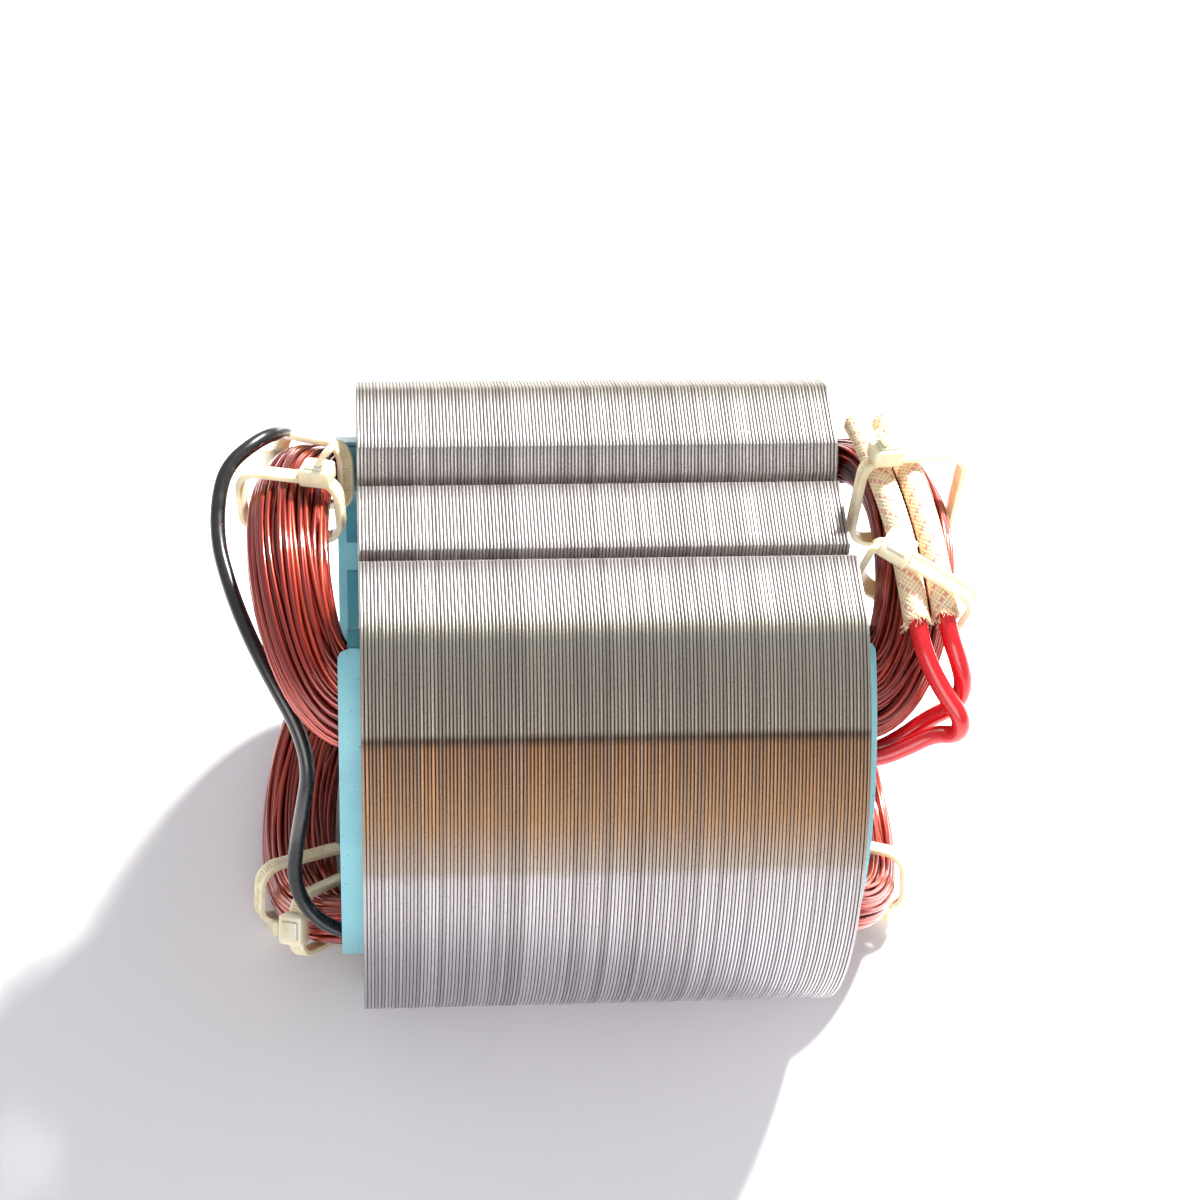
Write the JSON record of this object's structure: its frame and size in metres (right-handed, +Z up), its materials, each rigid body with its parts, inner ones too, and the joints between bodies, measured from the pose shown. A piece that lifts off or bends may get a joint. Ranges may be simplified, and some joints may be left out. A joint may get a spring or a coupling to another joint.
{
  "type": "wound stator, lamination stack with field coils",
  "caption": "Two-pole universal-motor stator: stack of punched steel sheets with field coils, slot liners, cable ties, braided sleeves and leads.",
  "frame": {"origin": "on the bore's axis at the middle of the stack's length", "axes": "+X along the stack and the bore's axis, towards the end with the braided sleeves; +Z up through the two poles, square to the flats; +Y towards the far side"},
  "size_m": [0.1092, 0.0948, 0.0921],
  "materials": {
    "stack": "punched edges, bonded",
    "liner": "satin sheet",
    "slot_cell": "satin sheet",
    "winding": "enamelled wire",
    "tie": "natural nylon",
    "sleeve": "braided glass fibre",
    "red_lead": "glossy PVC",
    "black_lead": "glossy PVC"
  },
  "bodies": {
    "root": {"lamination_stack": "stack", "near_slot_liner": "liner", "far_slot_liner": "liner", "upper_near_slot_cell": "slot_cell", "upper_far_slot_cell": "slot_cell", "lower_near_slot_cell": "slot_cell", "lower_far_slot_cell": "slot_cell", "upper_field_coil": "winding", "lower_field_coil": "winding", "left_coil_end": "winding", "right_coil_end": "winding", "upper_left_crown_tie": "tie", "upper_left_far_tie": "tie", "lower_left_crown_tie": "tie", "lower_left_near_tie": "tie", "upper_right_crown_tie": "tie", "upper_right_near_tie": "tie", "lower_right_crown_tie": "tie", "lower_right_far_tie": "tie", "left_braided_sleeve": "sleeve", "right_braided_sleeve": "sleeve", "red_lead_one": "red_lead", "red_lead_two": "red_lead", "black_lead": "black_lead"}
  },
  "joints": []
}
